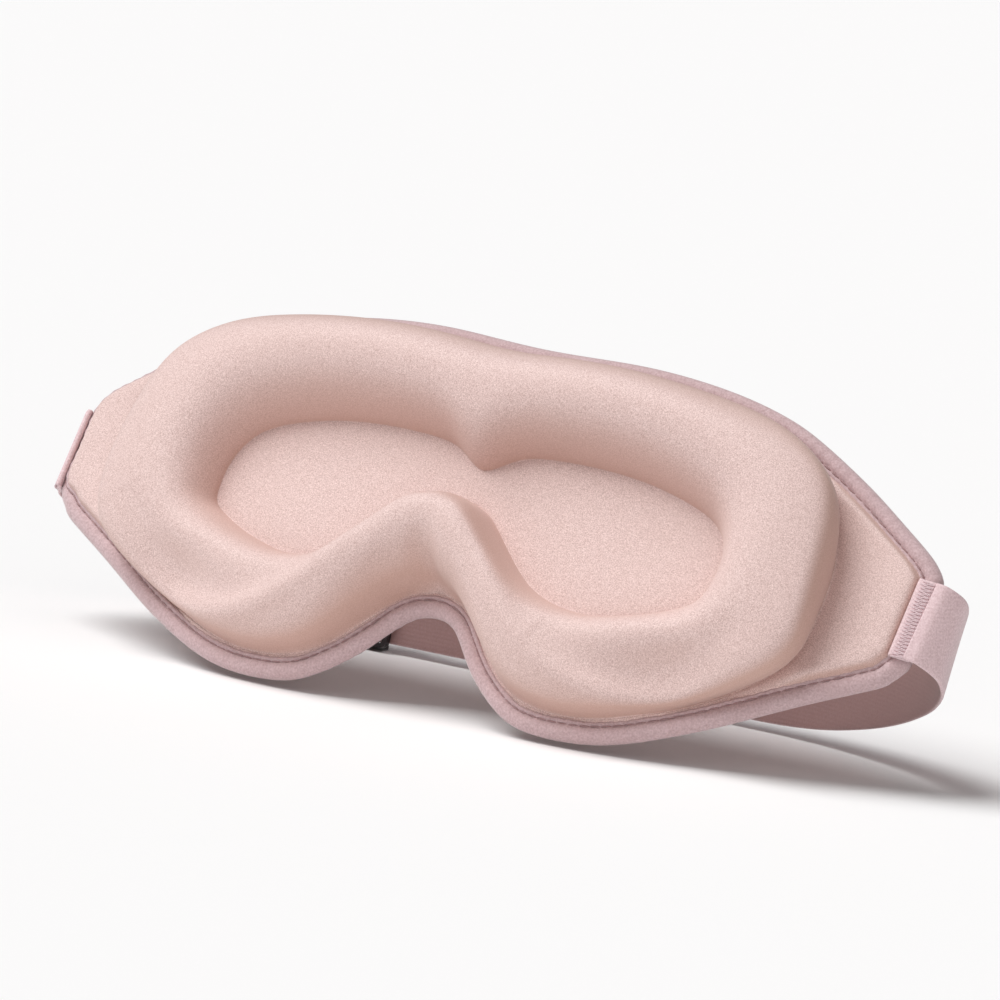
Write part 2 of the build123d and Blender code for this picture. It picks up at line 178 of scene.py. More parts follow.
# ---- the stitching ------------------------------------------------------------------------
STITCH_PITCH = 3.0
STITCH_HEIGHT = 1.52                  # the seam's groove, above the middle plane
STITCH_DIPS = [-0.22, 0.1, 0.17, 0.17, 0.1, -0.22]    # one lockstitch, from hole to hole
STITCH_RADIUS = 0.2
TACK_MARGIN = 0.5                     # a zigzag stays this far inside the elastic's selvedges
TAB_TACK = 3.6                        # width of the zigzag on a tab
TAB_TACK_STITCHES = 46
TAB_TACK_RADIUS = 0.21
TAB_TACK_HEIGHT = 1.92                # in the tab's section as it is drawn
RUN_TACK = 3.4                        # width of the zigzags on the back run
RUN_TACK_STITCHES = 58
RUN_TACK_RADIUS = 0.17


# ---- curves and meshes --------------------------------------------------------------------
def place(points):
    """Mask frame in millimetres to the model's frame in metres."""
    points = np.asarray(points, float)
    u, v, n = points[..., 0], points[..., 1], points[..., 2]
    c, s = math.cos(STAND_ANGLE), math.sin(STAND_ANGLE)
    return np.stack([u, v * c - n * s, v * s + n * c], -1) * MM + ORIGIN


def turned(direction):
    """A direction in the mask frame as one in the model's frame."""
    return Vector((place(direction) - place([0, 0, 0])) / MM).normalized()


def bow(u):
    """Height of the laminate's middle plane."""
    return BOW_TOP - BOW_RADIUS + np.sqrt(BOW_RADIUS**2 - np.square(u))


def ring_spline(points, samples):
    """A smooth closed curve through the points, evenly spread over them."""
    points = np.asarray(points, float)
    count = len(points)
    circle = (np.eye(count) * 4 + np.roll(np.eye(count), 1, 0) + np.roll(np.eye(count), -1, 0)) / 6
    control = np.linalg.solve(circle, points)
    t = np.arange(samples) * count / samples
    i = np.floor(t).astype(int)
    f = (t - i)[:, None]
    weights = [(1 - f) ** 3, 3 * f**3 - 6 * f**2 + 4, -3 * f**3 + 3 * f**2 + 3 * f + 1, f**3]
    return sum(w / 6 * control[(i + k - 1) % count] for k, w in enumerate(weights))


def open_spline(points, samples):
    """A smooth open curve through the points."""
    points = np.asarray(points, float)
    steps = np.linalg.norm(np.diff(points[:, :3], axis=0), axis=1) ** 0.5
    knots = np.concatenate([[0], np.cumsum(steps)])
    slope = np.gradient(points, knots, axis=0)
    t = np.linspace(0, knots[-1], samples)
    i = np.clip(np.searchsorted(knots, t, side="right") - 1, 0, len(points) - 2)
    h = (knots[i + 1] - knots[i])[:, None]
    f = (t - knots[i])[:, None] / h
    return (points[i] * (2 * f**3 - 3 * f**2 + 1) + slope[i] * h * (f**3 - 2 * f**2 + f)
            + points[i + 1] * (3 * f**2 - 2 * f**3) + slope[i + 1] * h * (f**3 - f**2))


def mirrored(half, mirror):
    """A half ring of rows and its mirror image, as one closed ring."""
    return list(half) + [mirror(row) for row in reversed(half[1:-1])]


def mirror_point(point):
    """The same point on the other half of the mask."""
    return (-point[0],) + tuple(point[1:])


def even_ring(points, samples):
    """A closed curve resampled to equal steps."""
    dense = ring_spline(points, samples * 4)
    closed = np.vstack([dense, dense[:1]])
    length = np.concatenate([[0], np.cumsum(np.linalg.norm(np.diff(closed, axis=0), axis=1))])
    wanted = np.linspace(0, length[-1], samples, endpoint=False)
    return np.stack([np.interp(wanted, length, closed[:, k]) for k in range(closed.shape[1])], -1)


def inward(ring):
    """Unit normals of a clockwise ring in the u, v plane, pointing inside."""
    along = np.roll(ring, -1, 0) - np.roll(ring, 1, 0)
    normal = np.stack([along[:, 1], -along[:, 0]], -1)
    return normal / np.linalg.norm(normal, axis=1)[:, None]


def new_mesh(name, points, faces, body, slot, replaces):
    """A smooth-shaded piece that rides on a body."""
    mesh = bpy.data.meshes.new(name)
    mesh.from_pydata(place(points).tolist(), [], [list(f) for f in faces])
    mesh.update()
    piece = bpy.data.objects.new(name, mesh)
    bpy.context.scene.collection.objects.link(piece)
    mesh.polygons.foreach_set("use_smooth", [True] * len(mesh.polygons))
    mesh.materials.append(MATERIALS[slot])
    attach(piece, body)
    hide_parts(*replaces)
    return piece


def grid_faces(rows, columns, close_rows=False):
    """Quads between rings of points."""
    faces = []
    for r in range(rows if close_rows else rows - 1):
        here, below = r * columns, (r + 1) % rows * columns
        for c in range(columns):
            right = (c + 1) % columns
            faces.append((here + c, here + right, below + right, below + c))
    return faces


def wall_faces(columns, below):
    """Quads from the first ring of points to the ring that starts at below."""
    faces = []
    for c in range(columns):
        right = (c + 1) % columns
        faces.append((c, right, below + right, below + c))
    return faces


def end_faces(rows, columns):
    """The two faces that close a tube at its ends."""
    last = (rows - 1) * columns
    return [tuple(range(columns))[::-1], tuple(range(last, last + columns))]


def flipped(faces):
    """The same faces, looking the other way."""
    return [tuple(reversed(face)) for face in faces]


def ladder_faces(columns, start=0):
    """Quads that close a ring across its middle, from the top half to the bottom half."""
    half = columns // 2
    faces = []
    for i in range(half // 2):
        faces.append((start + i, start + i + 1, start + half - i - 1, start + half - i))
        a, b = (columns - i) % columns, (columns - i - 1) % columns
        faces.append((start + b, start + a, start + half + i, start + half + i + 1))
    return faces


def along_path(path):
    """Unit directions along a path."""
    along = np.gradient(path, axis=0)
    return along / np.linalg.norm(along, axis=1)[:, None]


def strip_section(width, thickness):
    """Section of a strip with rounded selvedges: across it, and through its thickness."""
    radius = thickness / 2
    flat = width / 2 - radius
    ends = []
    for side, start in ((1, 90), (-1, 270)):
        for angle in np.radians(np.linspace(start, start - 180, 7)):
            ends.append((side * flat + radius * math.cos(angle), radius * math.sin(angle)))
    inner = np.linspace(-1, 1, 9)[1:-1]
    top = [(-x * flat, -radius) for x in inner]
    bottom = [(x * flat, radius) for x in inner]
    return np.array(ends[:7] + top + ends[7:] + bottom)


def ribbon(path, across, width, thickness):
    """Points and faces of a strip of elastic, with each point's place through the thickness."""
    along = along_path(path)
    across = across - along * np.sum(across * along, axis=1)[:, None]
    across /= np.linalg.norm(across, axis=1)[:, None]
    out = np.cross(along, across)
    section = strip_section(width, thickness)
    rows = (path[:, None, :] + section[None, :, 0, None] * across[:, None, :]
            + section[None, :, 1, None] * out[:, None, :])
    faces = grid_faces(len(path), len(section)) + end_faces(len(path), len(section))
    return rows.reshape(-1, 3), faces, np.tile(section[:, 1] * 2 / thickness, len(path))


def tube(path, radius, sides=6):
    """Points and faces of a round thread along a path."""
    path = np.asarray(path, float)
    along = along_path(path)
    side = np.cross(along, [0.02, 0.03, 1.0])
    side /= np.linalg.norm(side, axis=1)[:, None]
    up = np.cross(side, along)
    angles = np.arange(sides) * 2 * math.pi / sides
    rows = (path[:, None, :] + radius * np.cos(angles)[None, :, None] * side[:, None, :]
            + radius * np.sin(angles)[None, :, None] * up[:, None, :])
    faces = grid_faces(len(path), sides) + end_faces(len(path), sides)
    return rows.reshape(-1, 3), faces


def joined(parts):
    """Several sets of points and faces as one."""
    points, faces, start = [], [], 0
    for part_points, part_faces in parts:
        points.append(part_points)
        faces += [tuple(start + i for i in face) for face in part_faces]
        start += len(part_points)
    return np.vstack(points), faces


# ---- materials ----------------------------------------------------------------------------
class Nodes:
    """A short way to build a material's node tree."""

    def __init__(self, name):
        self.material = bpy.data.materials.new(name)
        self.material.use_nodes = True
        self.tree = self.material.node_tree
        self.tree.nodes.clear()
        self.shader = self.add("ShaderNodeBsdfPrincipled")
        output = self.add("ShaderNodeOutputMaterial")
        self.link(self.shader.outputs[0], output.inputs[0])
        self.coordinates = self.add("ShaderNodeTexCoord")
        self.where = self.coordinates.outputs["Object"]

    def add(self, kind, **values):
        node = self.tree.nodes.new(kind)
        for key, value in values.items():
            setattr(node, key, value)
        return node

    def link(self, source, target):
        self.tree.links.new(source, target)

    def noise(self, size_mm, detail=3.0, roughness=0.55):
        """Soft noise with blotches of about this size."""
        node = self.add("ShaderNodeTexNoise")
        self.link(self.where, node.inputs["Vector"])
        node.inputs["Scale"].default_value = 1000.0 / size_mm
        node.inputs["Detail"].default_value = detail
        node.inputs["Roughness"].default_value = roughness
        return node.outputs["Fac"]

    def cells(self, size_mm):
        """A pattern of cells of about this size."""
        node = self.add("ShaderNodeTexVoronoi")
        self.link(self.where, node.inputs["Vector"])
        node.inputs["Scale"].default_value = 1000.0 / size_mm
        return node

    def facing(self, direction):
        """How squarely the surface faces a fixed direction of the model."""
        node = self.add("ShaderNodeVectorMath", operation="DOT_PRODUCT")
        self.link(self.coordinates.outputs["Normal"], node.inputs[0])
        node.inputs[1].default_value = direction
        return node.outputs["Value"]

    def ramp(self, source, low, high, out_low=0.0, out_high=1.0):
        """The source's range from low to high, stretched to another range and held at its ends."""
        node = self.add("ShaderNodeMapRange")
        self.link(source, node.inputs["Value"])
        limits = {"From Min": low, "From Max": high, "To Min": out_low, "To Max": out_high}
        for key, value in limits.items():
            node.inputs[key].default_value = value
        return node.outputs["Result"]

    def mix(self, factor, a, b):
        """A blend of two colours: the node's inputs 6 and 7 and its output 2 are the colour ones."""
        node = self.add("ShaderNodeMix", data_type="RGBA")
        self.feed(factor, node.inputs["Factor"])
        self.feed(a, node.inputs[6])
        self.feed(b, node.inputs[7])
        return node.outputs[2]

    def feed(self, value, socket):
        """Connects another node's output to a socket, or sets a colour or a number there."""
        if isinstance(value, bpy.types.NodeSocket):
            self.link(value, socket)
        elif isinstance(value, (tuple, list)):
            socket.default_value = (*value, 1.0)[:4]
        else:
            socket.default_value = value

    def bump(self, height, distance_mm, strength=1.0, normal=None):
        node = self.add("ShaderNodeBump")
        self.link(height, node.inputs["Height"])
        node.inputs["Distance"].default_value = distance_mm * MM
        node.inputs["Strength"].default_value = strength
        if normal is not None:
            self.link(normal, node.inputs["Normal"])
        return node.outputs["Normal"]

    def finish(self, colour, roughness, normal, sheen=0.0, sheen_tint=(1, 1, 1), specular=0.5):
        self.feed(colour, self.shader.inputs["Base Color"])
        self.feed(roughness, self.shader.inputs["Roughness"])
        if normal is not None:
            self.link(normal, self.shader.inputs["Normal"])
        self.shader.inputs["Sheen Weight"].default_value = sheen
        self.shader.inputs["Sheen Tint"].default_value = (*sheen_tint, 1)
        self.shader.inputs["Sheen Roughness"].default_value = 0.45
        self.shader.inputs["Specular IOR Level"].default_value = specular
        return self.material


def satin():
    """Pale pink satin with a fine glittering grain, and painted shade that makes its steep side walls darker and
    browner.
    """
    n = Nodes("satin")
    grain = n.noise(0.26, 2.0, 0.6)
    cloud = n.noise(30, 2.0)
    colour = n.mix(n.ramp(grain, 0.32, 0.68), (0.52, 0.345, 0.315), (0.90, 0.715, 0.68))
    colour = n.mix(n.ramp(cloud, 0.3, 0.7, 0.0, 0.16), colour, (0.70, 0.52, 0.47))
    # painted shade: surfaces turned away from the mask's face direction, the steep pad walls, are mixed towards a
    # darker brown
    painted_wall_shade = n.ramp(n.facing(tuple(turned((0, 0, 1)))), 0.85, 0.2, 0.0, 0.68)
    colour = n.mix(painted_wall_shade, colour, (0.55, 0.325, 0.25))
    threads = n.cells(0.3)
    glint = n.ramp(threads.outputs["Distance"], 0.0, 0.55, 0.38, 0.66)
    normal = n.bump(grain, 0.07, 0.6)
    return n.finish(colour, glint, normal, sheen=0.28, sheen_tint=(1.0, 0.94, 0.93), specular=0.48)


def tape():
    """Matte lilac-pink binding tape with fine cross ribs."""
    n = Nodes("tape")
    fine = n.noise(0.5, 3.0)
    cloud = n.noise(9, 2.0)
    colour = n.mix(n.ramp(fine, 0.3, 0.7), (0.47, 0.325, 0.33), (0.66, 0.50, 0.515))
    colour = n.mix(n.ramp(cloud, 0.35, 0.65, 0.0, 0.25), colour, (0.52, 0.36, 0.365))
    normal = n.bump(fine, 0.08, 0.5)
    return n.finish(colour, 0.72, normal, sheen=0.4, specular=0.3)


def elastic():
    """Woven elastic: fine ribs across the width, a soft weave, and painted shade that makes the face towards the
    wearer darker and browner.
    """
    n = Nodes("elastic")
    fine = n.noise(0.45, 3.0)
    wave = n.add("ShaderNodeTexWave", wave_type="BANDS", bands_direction="Z")
    n.link(n.where, wave.inputs["Vector"])
    wave.inputs["Scale"].default_value = 330.0
    wave.inputs["Distortion"].default_value = 0.4
    ribs = wave.outputs["Fac"]
    colour = n.mix(n.ramp(fine, 0.3, 0.7), (0.66, 0.475, 0.49), (0.88, 0.69, 0.71))
    # painted shade: the strap's face towards the wearer is mixed towards a dark brown
    inner_side = n.add("ShaderNodeAttribute", attribute_name="inner_side").outputs["Fac"]
    colour = n.mix(n.ramp(inner_side, 0.0, 1.0, 0.0, 0.78), colour, (0.36, 0.205, 0.185))
    colour = n.mix(n.ramp(ribs, 0.0, 1.0, 0.07, 0.0), colour, (0.36, 0.22, 0.22))
    normal = n.bump(ribs, 0.06, 0.3)
    normal = n.bump(fine, 0.06, 0.4, normal)
    return n.finish(colour, 0.66, normal, sheen=0.25, specular=0.3)


def panel_cloth():
    """Smooth knit on the outer side."""
    n = Nodes("panel_cloth")
    knit = n.cells(0.7)
    cloud = n.noise(25, 2.0)
    fine = n.noise(0.6, 3.0)
    colour = n.mix(n.ramp(fine, 0.3, 0.7), (0.66, 0.45, 0.43), (0.80, 0.60, 0.575))
    colour = n.mix(n.ramp(cloud, 0.3, 0.7, 0.0, 0.15), colour, (0.72, 0.50, 0.47))
    normal = n.bump(knit.outputs["Distance"], 0.08, 0.5)
    return n.finish(colour, 0.62, normal, sheen=0.3, specular=0.3)


def plain_cloth(name, low, high, size_mm, roughness=0.9):
    """Foam, lining and thread: a mottled matte surface."""
    n = Nodes(name)
    grain = n.noise(size_mm, 3.0)
    colour = n.mix(n.ramp(grain, 0.3, 0.7), low, high)
    return n.finish(colour, roughness, n.bump(grain, size_mm * 0.2, 0.6), sheen=0.1, specular=0.2)


def plastic():
    """Glossy dark moulded plastic."""
    n = Nodes("plastic")
    cloud = n.noise(3.0, 2.0)
    colour = n.mix(n.ramp(cloud, 0.3, 0.7), (0.022, 0.019, 0.020), (0.035, 0.031, 0.033))
    roughness = n.ramp(n.noise(1.2, 3.0), 0.3, 0.7, 0.16, 0.30)
    return n.finish(colour, roughness, n.bump(n.noise(6.0, 1.0), 0.05, 0.3), specular=0.5)


MATERIALS = {
    "satin": satin(),
    "panel_cloth": panel_cloth(),
    "foam": plain_cloth("foam", (0.03, 0.03, 0.032), (0.07, 0.068, 0.07), 0.6),
    "lining": plain_cloth("lining", (0.006, 0.006, 0.007), (0.02, 0.02, 0.022), 0.4),
    "tape": tape(),
    "elastic": elastic(),
    "thread": plain_cloth("thread", (0.60, 0.44, 0.46), (0.78, 0.62, 0.645), 0.3, 0.6),
    # seam thread: real stitches, darkened so that the row also reads as the groove's shade line, partly painted
    # shade
    "seam_thread": plain_cloth("seam_thread", (0.32, 0.19, 0.19), (0.46, 0.31, 0.31), 0.3, 0.6),
    "plastic": plastic(),
}


# ---- the moulded face ----------------------------------------------------------------------
EDGE_RING = even_ring(mirrored(EDGE, mirror_point), EDGE_SAMPLES)
EDGE_INWARD = inward(EDGE_RING)


def smoothstep(value, low, high):
    """0 below low and 1 above high, with a smooth rise between them."""
    t = np.clip((value - low) / (high - low), 0, 1)
    return t * t * (3 - 2 * t)


def edge_tilt(where):
    """How much of the pull bends the edge back: only round the upper end of the left wing."""
    return smoothstep(where[:, 1], -16, -6) * smoothstep(-where[:, 0], 84, 106)


EDGE_TILT = edge_tilt(EDGE_RING)


def edge_inset(inset):
    """The edge moved inside by a distance."""
    return EDGE_RING + EDGE_INWARD * np.asarray(inset)[..., None]


def pulled_back(out, height, amount):
    """A point beside the seam, turned back about it: how far outside it, and how high."""
    angle = np.radians(TILT) * amount
    turned_out = out * np.cos(angle) + height * np.sin(angle) + TILT_REACH * amount
    return turned_out, height * np.cos(angle) - out * np.sin(angle)


def rim(inset, height):
    """Points near the bound edge, given how far inside the edge and how high they are when flat."""
    out, up = pulled_back(SEAM_INSET - inset, height, EDGE_TILT)
    flat = edge_inset(SEAM_INSET - out)
    return np.column_stack([flat, bow(flat[:, 0]) + up])


def sampled(ring, where):
    """Points of a ring at fractional positions along it."""
    low = np.floor(where).astype(int)
    f = (where - low)[:, None]
    return ring[low % len(ring)] * (1 - f) + ring[(low + 1) % len(ring)] * f


def spoke_rings():
    """Smooth rings through the spokes' columns, with the edge point that each sample faces."""
    rows = mirrored(SPOKES, lambda row: tuple(mirror_point(p) for p in row[:5]) + row[5:])
    shelf = ring_spline([(row[5], 0) for row in rows], EDGE_SAMPLES)[:, 0]
    foot, knee, crest, floor_rim = (
        ring_spline([row[k] for row in rows], EDGE_SAMPLES) for k in (1, 2, 3, 4))
    keys = [np.argmin(np.linalg.norm(EDGE_RING - row[0], axis=1)) for row in rows]
    keys = np.array([0] + keys[1:] + [EDGE_SAMPLES], float)
    step = np.arange(len(keys)) * EDGE_SAMPLES / len(rows)
    facing = np.interp(np.arange(EDGE_SAMPLES), step, keys)
    return foot, knee, crest, floor_rim, np.clip(shelf, 0, 1), smooth_ring(facing)


def smooth_ring(facing, passes=12):
    """Evens out the steps of a ring of positions along the edge."""
    drift = facing - np.arange(EDGE_SAMPLES)
    for _ in range(passes):
        drift = (np.roll(drift, 1) + np.roll(drift, -1) + 2 * drift) / 4
    return drift + np.arange(EDGE_SAMPLES)


def with_height(flat, height):
    """Points in the plane, raised by one height or by one for each."""
    return np.column_stack([flat, np.broadcast_to(height, flat.shape[:1])])


def between(a, b, t):
    """Part of the way from one to the other."""
    return a + (b - a) * t


def wing_rings(foot, facing):
    """Control rings from under the tape, over the swelling wing, to the foot of the pad."""
    pulled = EDGE_RING - EDGE_INWARD * (FACE_REACH * EDGE_TILT)[:, None]
    under = sampled(pulled + EDGE_INWARD * UNDER_TAPE, facing)
    seam = sampled(pulled + EDGE_INWARD * (TAPE_WIDTH - 0.4), facing)
    room = np.linalg.norm(seam - foot, axis=1)
    direction = (seam - foot) / room[:, None]
    swell = SWELL * smoothstep(room, 2, 9)
    ledge = direction * np.minimum(room * 0.3, 2.2)[:, None]
    crease = foot + direction * np.minimum(0.9, room * 0.4)[:, None]
    # each ring, how far it is lifted above the seam, and its share of the swell
    lines = [
        (under, -0.3, 0),
        (seam, 0, 0),
        (seam - ledge * 0.25, 0, 0.85),
        (seam - ledge, 0, 1.1),
        (between(seam, foot, 0.55), 0.3, 0.75),
        (crease, 0.2, 0.5),
        (foot, 0, 0.45),
    ]
    return [with_height(flat, SEAM_RISE + lift + swell * share) for flat, lift, share in lines]


def face_cage():
    """Rings of control points from under the tape, over the pad, to the cavity floor."""
    foot, knee, crest, floor_rim, shelf, facing = spoke_rings()
    knee, knee_top = knee[:, :2], knee[:, 2]
    crest, crest_top = crest[:, :2], crest[:, 2]
    middle_u = np.clip(floor_rim[:, 0], -FLOOR_MIDDLE, FLOOR_MIDDLE)
    middle = np.stack([middle_u, 3.5 - 6.0 * np.abs(floor_rim[:, 0]) / 60], -1)
    rings = wing_rings(foot, facing)
    way, climb = UP_THE_WALL
    rings.append(with_height(between(foot, knee, way), between(SEAM_RISE, knee_top, climb)))
    rings.append(with_height(knee, knee_top))
    for way, climb, shelf_share in KNEE_TO_CREST:
        height = between(knee_top, crest_top, climb - shelf_share * shelf)
        rings.append(with_height(between(knee, crest, way), height))
    rings.append(with_height(crest, crest_top + 0.4))
    for way, climb in CREST_TO_FLOOR:
        height = between(crest_top, FLOOR_RISE, climb)
        rings.append(with_height(between(crest, floor_rim, way), height))
    for way, lift in ACROSS_FLOOR:
        rings.append(with_height(between(floor_rim, middle, way), FLOOR_RISE + lift))
    return rings


def radial_spline(cage):
    """Cubic B-spline across the rings, held at both ends."""
    cage = [cage[0]] * 2 + cage + [cage[-1]] * 2
    rings = []
    for k in range(len(cage) - 3):
        for j in range(RING_STEPS):
            f = j / RING_STEPS
            weights = ((1 - f) ** 3, 3 * f**3 - 6 * f**2 + 4, -3 * f**3 + 3 * f**2 + 3 * f + 1, f**3)
            rings.append(sum(w / 6 * cage[k + m] for m, w in enumerate(weights)))
    rings.append(cage[-1])
    return np.array(rings)


def beside(points, curve, width):
    """1 on a curve, falling to 0 away from it and towards its ends; the same on both lobes."""
    line = open_spline([(u, v, 0) for u, v in curve], 48)[:, :2]
    flat = np.stack([np.abs(points[..., 0]), points[..., 1]], -1)
    away = np.linalg.norm(flat[..., None, :] - line, axis=-1)
    nearest = np.argmin(away, axis=-1)
    strength = np.sin(np.linspace(0, math.pi, 48)) ** 0.6
    return np.exp(-((away.min(axis=-1) / width) ** 2)) * strength[nearest]


def face_rings():
    """The wearer's side as rings of points in the mask frame."""
    rings = radial_spline(face_cage())
    rings[..., 2] += bow(rings[..., 0])
    rings[..., 2] += ROLL_HEIGHT * beside(rings, LOWER_ROLL, ROLL_WIDTH)
    rings[..., 2] -= HOLLOW_DEPTH * beside(rings, HOLLOW, HOLLOW_WIDTH)
    return rings


def sunk(rings, depth):
    """The rings moved into the surface, square to it; the floor's rings tell which side is out."""
    around = np.roll(rings, -1, 1) - np.roll(rings, 1, 1)
    inwards = np.gradient(rings, axis=0)
    normal = np.cross(around, inwards)
    normal /= np.maximum(np.linalg.norm(normal, axis=2), 1e-9)[..., None]
    normal *= np.sign(normal[len(rings) - 3, 0, 2])
    return rings - normal * depth


def shell(rings, drop):
    """A sheet with a second surface beneath it, closed along its outer ring."""
    count, columns = rings.shape[:2]
    under = sunk(rings, drop)
    points = np.vstack([rings.reshape(-1, 3), under.reshape(-1, 3)])
    size = count * columns
    top = grid_faces(count, columns) + ladder_faces(columns, (count - 1) * columns)
    faces = flipped(top) + [tuple(size + i for i in face) for face in top]
    return points, faces + wall_faces(columns, size)


def make_face():
    """The satin of the wearer's side, and the moulded foam that it is bonded to."""
    rings = face_rings()
    points, faces = shell(rings, FACE_CLOTH)
    face = new_mesh("face_cloth", points, faces, "mask", "satin", ["face_fabric"])
    core = sunk(rings, FOAM_DEPTH)
    drawn_in = FOAM_DRAWN_IN * edge_tilt(core[0][:, :2])[:, None]
    underside = between(core[0], core[CREASE_RING], drawn_in)
    underside[:, 2] = bow(underside[:, 0]) + LINING_RISE
    count, columns = core.shape[:2]
    base = count * columns
    points = np.vstack([core.reshape(-1, 3), underside])
    faces = flipped(grid_faces(count, columns) + ladder_faces(columns, base - columns))
    faces += wall_faces(columns, base) + ladder_faces(columns, base)
    foam = new_mesh("moulded_foam", points, faces, "mask", "foam", ["contour_foam"])


# ---- the outer side --------------------------------------------------------------------------
def make_outer_cloth():
    """The cloth on the outer side, slightly crowned between the tape's seams."""
    rings = [rim(inset, -WING_RISE - puff) for inset, puff in OUTER_SEAM]
    bound = rings[-1]
    middle_u = np.clip(bound[:, 0], -OUTER_MIDDLE, OUTER_MIDDLE)
    middle = np.column_stack([middle_u, np.full(EDGE_SAMPLES, 2.0)])
    pull = bound[:, 2] - bow(bound[:, 0]) + WING_RISE + OUTER_SEAM[-1][1]
    for way, puff in OUTER_CROWN:
        flat = between(bound[:, :2], middle, way)
        level = bow(flat[:, 0]) - WING_RISE - puff
        rings.append(np.column_stack([flat, level + pull * EDGE_TILT * (1 - way) ** 3]))
    outer = np.array(rings)
    count, columns = outer.shape[:2]
    inner = outer.copy()
    inner[..., 2] += OUTER_CLOTH
    points = np.vstack([outer.reshape(-1, 3), inner.reshape(-1, 3)])
    sheet = grid_faces(count, columns) + ladder_faces(columns, (count - 1) * columns)
    size = count * columns
    faces = sheet + [tuple(size + i for i in face) for face in flipped(sheet)]
    faces += flipped(wall_faces(columns, size))
    cloth = new_mesh("outer_cloth", points, faces, "mask", "panel_cloth", ["outer_fabric"])


def make_inner_layer(name, low, high, slot, replaced):
    """A layer hidden inside the laminate, pinched thin at the seam."""
    rings = []
    for bound in (high, low):
        for inset, share in LAYER_EDGE:
            flat = edge_inset(inset + LAYER_CUT * EDGE_TILT)
            rings.append(np.column_stack([flat, bow(flat[:, 0]) + bound * share]))
    points = np.array([rings[1], rings[0], rings[2], rings[3]])
    faces = flipped(grid_faces(len(rings), EDGE_SAMPLES)) + ladder_faces(EDGE_SAMPLES)
    faces += flipped(ladder_faces(EDGE_SAMPLES, 3 * EDGE_SAMPLES))
    return new_mesh(name, points.reshape(-1, 3), faces, "mask", slot, [replaced])


# ---- the bound edge ------------------------------------------------------------------------
# Half of the tape's section: how far inside the edge, and how high.
TAPE_PROFILE = [(4.85, 1.1), (4.95, 1.5), (4.75, 1.8), (4.4, 1.9), (4.05, 1.8), (3.83, 1.52),
                (3.63, 1.5), (3.4, 1.7), (2.9, 1.98), (2.2, 2.1), (1.35, 1.95), (0.6, 1.5),
                (0.15, 0.85), (0.0, 0.0)]


def make_binding():
    """Tape folded round the edge: a lip, a stitched groove and a full rounded edge."""
    step = np.arange(EDGE_SAMPLES)
    even = 0.09 * np.sin(step * 2 * math.pi / 3.6)
    uneven = 0.12 * np.sin(step * 0.37) * np.sin(step * 0.113)
    pucker = even + uneven
    profile = TAPE_PROFILE + [(s, -h) for s, h in reversed(TAPE_PROFILE[:-1])]
    outer = []
    for s, h in profile:
        outer.append(rim(s + 0.4 * pucker * (s > 4), h + pucker * np.sign(h) * (abs(h) > 1)))
    inner = [rim(min(s + 0.45, 4.7), np.clip(h, -1.05, 1.05)) for s, h in reversed(profile)]
    section = np.array(outer + inner)
    faces = grid_faces(len(section), EDGE_SAMPLES, close_rows=True)
    new_mesh("binding_tape", section.reshape(-1, 3), faces, "mask", "tape", ["edge_binding"])


def make_stitches():
    """Lockstitches on both sides of the edge, in a dark thread that also stands in for the shaded groove of the
    seam: partly painted shade.
    """
    perimeter = np.linalg.norm(np.diff(EDGE_RING, axis=0, append=EDGE_RING[:1]), axis=1).sum()
    count = int(perimeter / STITCH_PITCH)
    steps = np.linspace(0, 1, len(STITCH_DIPS))
    parts = []
    for side in (1, -1):
        rows = [rim(SEAM_INSET, side * (STITCH_HEIGHT + dip)) for dip in STITCH_DIPS]
        for i in range(count):
            along = (i + steps) * (EDGE_SAMPLES / count)
            path = [sampled(row, np.array([a]))[0] for row, a in zip(rows, along)]
            parts.append(tube(path, STITCH_RADIUS))
    points, faces = joined(parts)
    new_mesh("seam_stitches", points, faces, "mask", "seam_thread", ["binding_stitches"])


# ---- sewn strap ends -----------------------------------------------------------------------
def wing_frame(side):
    """A sewn strap end's origin, the direction along the wing and the one out of its surface."""
    amount = 1.0 if side < 0 else 0.0
    out, up = pulled_back(SEAM_INSET + TAB_OVERHANG - TAB_LENGTH, TAB_RISE, amount)
    u = side * (HALF_LENGTH - SEAM_INSET + out)
    slope = math.atan2(abs(u), BOW_RADIUS) + math.radians(TILT) * amount
    along = np.array([side * math.cos(slope), 0, -math.sin(slope)])
    normal = np.array([side * math.sin(slope), 0, math.cos(slope)])
    origin = np.array([u, 0, bow(u) + up]) + along * (TAB_LENGTH / 2)
    return origin, along, normal


def make_tab(side):
    """The strap's end, folded under and laid on the tape."""
    origin, along, up = wing_frame(side)
    rows = []
    for t in np.linspace(-1, 1, TAB_ROWS):
        v = t * (STRAP_WIDTH / 2 - 0.05)
        tuck = 0.3 * max(0.0, abs(t) - 0.93) / 0.07
        for x, z in TAB_OUTLINE:
            height = (z - tuck * (z > 1.0)) * TAB_SCALE
            rows.append(origin + along * x + up * height + np.array([0, v, 0]))
    faces = grid_faces(TAB_ROWS, len(TAB_OUTLINE)) + end_faces(TAB_ROWS, len(TAB_OUTLINE))
    if side < 0:
        faces = flipped(faces)
    name = "right" if side > 0 else "left"
    new_mesh(f"tab_{name}", np.array(rows), faces, "mask", "elastic", [f"strap_tab_{name}"])


def zigzag(length, width, stitches, overrun=0.0):
    """A zigzag path in a plane, with the thread's rise out of the cloth as the third value."""
    path = []
    for i in range(stitches + 1):
        side = 1 if i % 2 else -1
        v = -width / 2 - overrun + (width + overrun) * i / stitches
        path.append((side * length / 2, v, 0.0))
    points = []
    for a, b in zip(path, path[1:]):
        for f in (0.0, 0.15, 0.5, 0.85):
            rise = 0.16 * math.sin(math.pi * f)
            points.append((a[0] + (b[0] - a[0]) * f, a[1] + (b[1] - a[1]) * f, rise))
    return points


